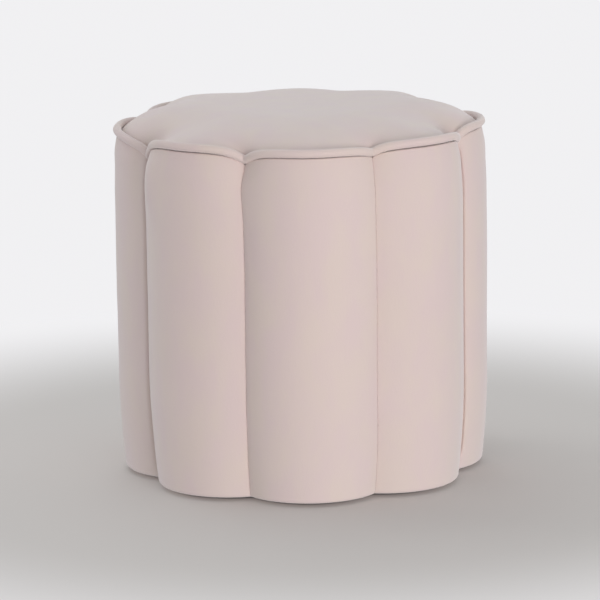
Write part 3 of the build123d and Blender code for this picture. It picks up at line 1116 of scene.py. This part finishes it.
def stage_floor():
    """A pale floor that fades into the backdrop, with the light it throws back left to the surround."""
    bpy.ops.object.select_all(action="DESELECT")
    bpy.ops.mesh.primitive_plane_add(size=14)
    floor = bpy.context.active_object
    floor.name = "floor"
    material = bpy.data.materials.new("pale_floor")
    material.use_nodes = True
    nodes = material.node_tree.nodes
    links = material.node_tree.links
    nodes.clear()
    place = nodes.new("ShaderNodeTexCoord").outputs["Object"]
    length = nodes.new("ShaderNodeVectorMath")
    length.operation = "LENGTH"
    links.new(place, length.inputs[0])
    fade = spread(nodes, links, length.outputs["Value"], (0.45, 0.95), (0.0, 1.0), smooth=True)
    matt = nodes.new("ShaderNodeBsdfDiffuse")
    matt.inputs["Color"].default_value = (*FLOOR_NEAR, 1)
    glow = nodes.new("ShaderNodeEmission")
    glow.inputs["Color"].default_value = (*BACKDROP, 1)
    share = nodes.new("ShaderNodeMath")
    share.operation = "MULTIPLY"
    links.new(fade, share.inputs[0])
    links.new(sees_backdrop(nodes, links), share.inputs[1])
    mix = nodes.new("ShaderNodeMixShader")
    links.new(share.outputs["Value"], mix.inputs["Fac"])
    links.new(matt.outputs["BSDF"], mix.inputs[1])
    links.new(glow.outputs["Emission"], mix.inputs[2])
    below = nodes.new("ShaderNodeNewGeometry")
    clear = nodes.new("ShaderNodeBsdfTransparent")
    side = nodes.new("ShaderNodeMixShader")
    links.new(below.outputs["Backfacing"], side.inputs["Fac"])
    links.new(mix.outputs["Shader"], side.inputs[1])
    links.new(clear.outputs["BSDF"], side.inputs[2])
    out = nodes.new("ShaderNodeOutputMaterial")
    links.new(side.outputs["Shader"], out.inputs["Surface"])
    floor.data.materials.append(material)
    floor.visible_diffuse = False
    floor.visible_shadow = False


def studio_light():
    """A pale surround and three large soft lamps, the strongest one from the right of the camera."""
    world = bpy.data.worlds.new("studio")
    bpy.context.scene.world = world
    world.use_nodes = True
    nodes = world.node_tree.nodes
    links = world.node_tree.links
    nodes.clear()
    around = nodes.new("ShaderNodeBackground")
    around.inputs["Color"].default_value = (0.93, 0.98, 1.0, 1)
    split = nodes.new("ShaderNodeSeparateXYZ")
    links.new(nodes.new("ShaderNodeTexCoord").outputs["Generated"], split.inputs["Vector"])
    above = spread(nodes, links, split.outputs["Z"], (-0.12, 0.04), (0.0, 1.0), smooth=True)
    low = spread(nodes, links, split.outputs["X"], (-1.0, 1.0), (0.40, 0.64))
    high = spread(nodes, links, split.outputs["Y"], (-1.0, 1.0), (0.45, 0.82))
    level = nodes.new("ShaderNodeMix")
    links.new(above, level.inputs["Factor"])
    links.new(low, level.inputs["A"])
    links.new(high, level.inputs["B"])
    links.new(level.outputs["Result"], around.inputs["Strength"])
    seen = nodes.new("ShaderNodeBackground")
    seen.inputs["Color"].default_value = (*BACKDROP, 1)
    mix = nodes.new("ShaderNodeMixShader")
    links.new(sees_backdrop(nodes, links), mix.inputs["Fac"])
    links.new(around.outputs["Background"], mix.inputs[1])
    links.new(seen.outputs["Background"], mix.inputs[2])
    out = nodes.new("ShaderNodeOutputWorld")
    links.new(mix.outputs["Shader"], out.inputs["Surface"])
    for name, place, size, power, colour in (
        ("window", (1.30, -3.80, 0.45), (3.2, 1.5), 91, (1.0, 0.955, 0.94)),
        ("left_fill", (-3.7, 1.8, 0.9), (1.6, 1.6), 38, (1.0, 0.96, 0.97)),
        ("ceiling", (-0.7, 1.7, 3.0), (2.4, 2.4), 20, (0.92, 0.99, 1.0)),
    ):
        data = bpy.data.lights.new(name, "AREA")
        data.shape = "RECTANGLE"
        data.size, data.size_y = size
        data.energy = power
        data.color = colour
        lamp = bpy.data.objects.new(name, data)
        bpy.context.scene.collection.objects.link(lamp)
        lamp.location = place
        towards = Vector((0, 0, 0.25)) - Vector(place)
        lamp.rotation_euler = towards.to_track_quat("-Z", "Y").to_euler()


def photo_camera():
    """A long lens from a little left of the front lobe, looking down at the stool."""
    distance = 4.42
    height = 1.101
    azimuth = radians(-3.0)
    aim = radians(0.038)
    pitch = radians(11.475)
    roll = radians(-0.75)
    data = bpy.data.cameras.new("photo_camera")
    data.sensor_width = 36.0
    data.lens = 223.2
    camera = bpy.data.objects.new("photo_camera", data)
    bpy.context.scene.collection.objects.link(camera)
    turn = Matrix.Rotation(azimuth + aim, 4, "Z") @ Matrix.Rotation(pi / 2 - pitch, 4, "X")
    turn = turn @ Matrix.Rotation(roll, 4, "Z")
    place = Matrix.Translation((sin(azimuth) * distance, -cos(azimuth) * distance, height))
    camera.matrix_world = place @ turn
    bpy.context.scene.camera = camera


stage_floor()
studio_light()
photo_camera()
bpy.context.scene.view_settings.view_transform = "Standard"
